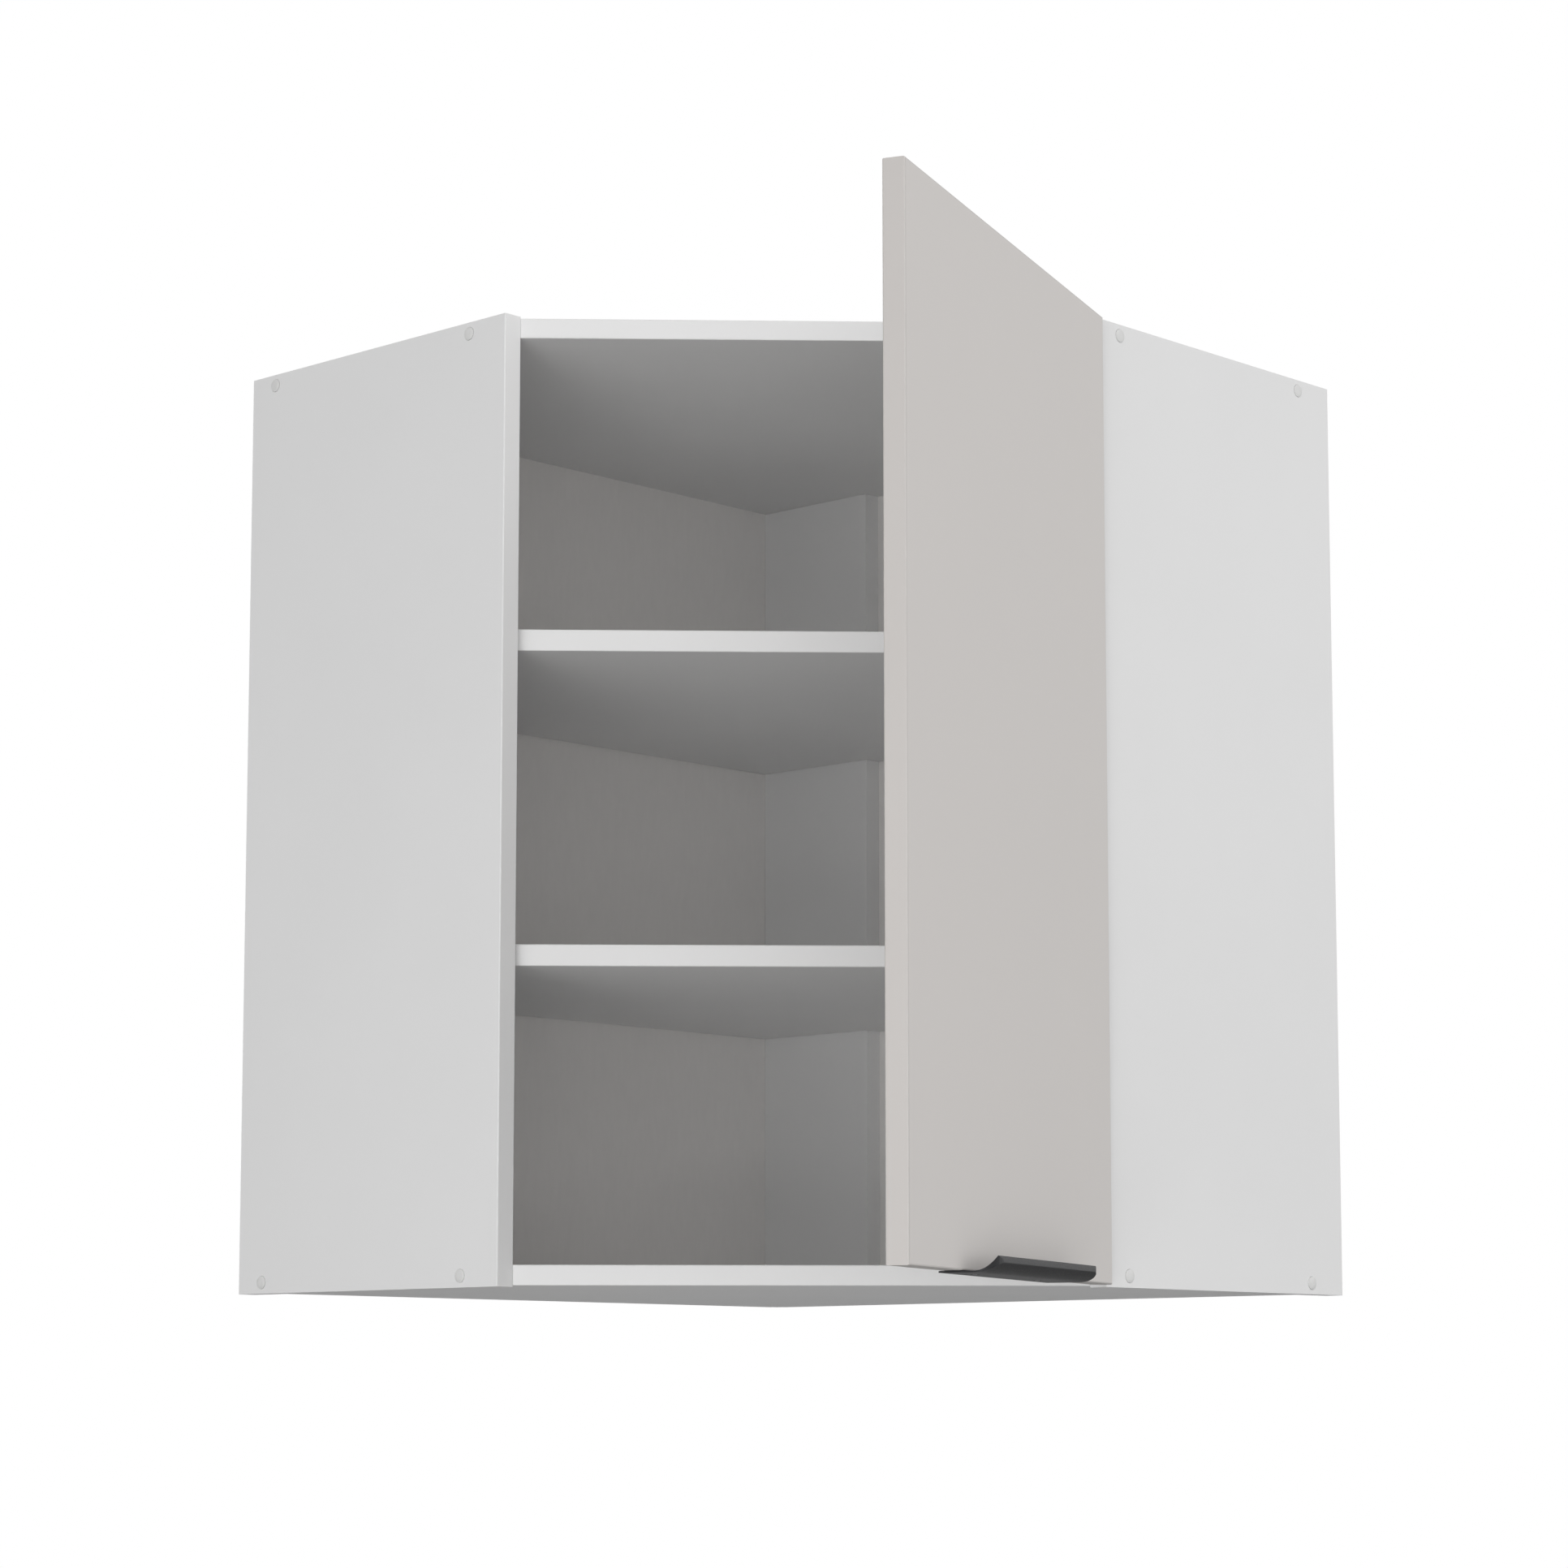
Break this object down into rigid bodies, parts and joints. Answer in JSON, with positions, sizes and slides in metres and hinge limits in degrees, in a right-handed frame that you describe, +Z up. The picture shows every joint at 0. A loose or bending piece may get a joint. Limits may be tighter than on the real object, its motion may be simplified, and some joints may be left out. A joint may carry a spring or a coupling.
{
  "type": "corner wall cabinet",
  "caption": "Diagonal-front kitchen corner wall cabinet with inner shelves and a flat door hung at the right, opened by a dark edge handle under its lower edge",
  "frame": {"origin": "The corner of the two walls the cabinet hangs on, at the level of its lower end", "axes": "Right-handed: +X runs out along the right-hand wall, -Y runs out along the left-hand wall, +Z is up. The left wall is the plane x = 0 and the right wall the plane y = 0."},
  "size_m": [0.757, 0.6886, 0.716],
  "materials": {
    "board": "white melamine, fine matte",
    "back_sheet": "white lacquered hardboard",
    "door_front": "warm grey, supermatte",
    "handle_metal": "graphite, fine matte",
    "cap": "white, satin",
    "steel": "zinc plated",
    "hinge_metal": "nickel plated",
    "hanger": "white, satin"
  },
  "bodies": {
    "carcass": {"left_side_panel": "board", "right_side_panel": "board", "top_panel": "board", "bottom_panel": "board", "lower_shelf": "board", "upper_shelf": "board", "corner_post": "board", "left_back_sheet": "back_sheet", "right_back_sheet": "back_sheet", "screw_left_bottom_rear": "steel", "screw_left_bottom_front": "steel", "screw_left_top_rear": "steel", "screw_left_top_front": "steel", "screw_right_bottom_rear": "steel", "screw_right_bottom_front": "steel", "screw_right_top_rear": "steel", "screw_right_top_front": "steel", "cap_left_bottom_rear": "cap", "cap_left_bottom_front": "cap", "cap_left_top_rear": "cap", "cap_left_top_front": "cap", "cap_right_bottom_rear": "cap", "cap_right_bottom_front": "cap", "cap_right_top_rear": "cap", "cap_right_top_front": "cap", "pin_lower_left_rear": "steel", "pin_lower_left_front": "steel", "pin_lower_right_rear": "steel", "pin_lower_right_front": "steel", "pin_lower_post": "steel", "pin_upper_left_rear": "steel", "pin_upper_left_front": "steel", "pin_upper_right_rear": "steel", "pin_upper_right_front": "steel", "pin_upper_post": "steel", "left_hanger": "hanger", "right_hanger": "hanger", "left_hanger_hook": "steel", "right_hanger_hook": "steel", "lower_hinge_arm": "hinge_metal", "lower_hinge_plate": "hinge_metal", "lower_hinge_axle": "steel", "lower_plate_screw_1": "steel", "lower_plate_screw_2": "steel", "upper_hinge_arm": "hinge_metal", "upper_hinge_plate": "hinge_metal", "upper_hinge_axle": "steel", "upper_plate_screw_1": "steel", "upper_plate_screw_2": "steel"},
    "door": {"door": "door_front", "door_handle": "handle_metal", "handle_screw_1": "steel", "handle_screw_2": "steel", "lower_hinge_cup": "hinge_metal", "lower_cup_screw_1": "steel", "lower_cup_screw_2": "steel", "upper_hinge_cup": "hinge_metal", "upper_cup_screw_1": "steel", "upper_cup_screw_2": "steel"}
  },
  "joints": [
    {"name": "door_hinge", "type": "hinge", "parent": "carcass", "child": "door", "pos_m": [0.5931, -0.3017, 0.358], "axis": [0, 0, 1], "range_deg": [-66, 23]}
  ]
}
